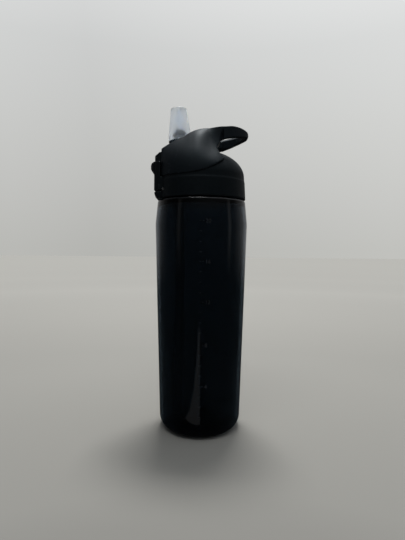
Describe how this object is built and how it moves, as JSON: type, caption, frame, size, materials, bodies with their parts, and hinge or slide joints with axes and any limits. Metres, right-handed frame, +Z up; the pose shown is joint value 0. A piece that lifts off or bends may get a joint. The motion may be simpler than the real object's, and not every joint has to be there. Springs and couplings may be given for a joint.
{
  "type": "flip-spout sports bottle",
  "caption": "Rigid tinted drinking bottle with a screw lid, a flip-up bite spout over a straw, a front latch and a moulded carry loop.",
  "frame": {"origin": "centre of the flat base, on the bottle's axis", "axes": "+Z up along the bottle's axis; the spout and the latch are on the -X side and the carry loop reaches to +X"},
  "size_m": [0.0814, 0.076, 0.2687],
  "materials": {
    "tinted_body": "glossy translucent smoke copolyester",
    "lid_plastic": "fine satin moulded polypropylene",
    "handle_plastic": "fine satin moulded polypropylene",
    "latch_plastic": "satin moulded acetal",
    "liner_plastic": "smooth moulded polypropylene",
    "hub_plastic": "semi-gloss slate moulded plastic",
    "clear_silicone": "frosted translucent silicone",
    "seal_rubber": "soft matte silicone",
    "straw_plastic": "milky translucent extruded tube",
    "steel": "plain turned stainless steel",
    "spring_steel": "drawn stainless wire"
  },
  "bodies": {
    "bottle": {"bottle_body": "tinted_body"},
    "gasket": {"cap_gasket": "seal_rubber"},
    "lid": {"cap_shell": "lid_plastic", "thread_liner": "liner_plastic", "handle_shroud": "handle_plastic", "shroud_screws": "steel", "latch_pins": "steel", "latch_spring": "spring_steel", "spout_pins": "steel", "spout_spring": "spring_steel", "spout_seal": "seal_rubber", "straw_adapter": "liner_plastic", "straw_tube": "straw_plastic", "vent_valve": "seal_rubber"},
    "spout": {"spout_hub": "hub_plastic", "spout_mouthpiece": "clear_silicone"},
    "latch": {"latch_button": "latch_plastic"}
  },
  "joints": [
    {"name": "lid_rise", "type": "slide", "parent": "bottle", "child": "gasket", "axis": [0, 0, 1], "range_m": [0, 0.0075]},
    {"name": "lid_turn", "type": "hinge", "parent": "gasket", "child": "lid", "pos_m": [0, 0, 0.2], "axis": [0, 0, 1], "range_deg": [0, 450]},
    {"name": "spout_fold", "type": "hinge", "parent": "lid", "child": "spout", "pos_m": [-0.018, 0, 0.23], "axis": [0, 1, 0], "range_deg": [0, 93], "stiffness_Nm_per_rad": 0.015, "springref_deg": -34.38, "deforming": ["spout_spring"]},
    {"name": "latch_press", "type": "hinge", "parent": "lid", "child": "latch", "pos_m": [-0.031, 0, 0.1965], "axis": [0, -1, 0], "range_deg": [0, 5], "stiffness_Nm_per_rad": 0.2, "springref_deg": -5.73, "deforming": ["latch_spring"]}
  ],
  "couplings": [
    {"joint": "lid_rise", "follows": "lid_turn", "m_per_rad": 0.00095493}
  ]
}
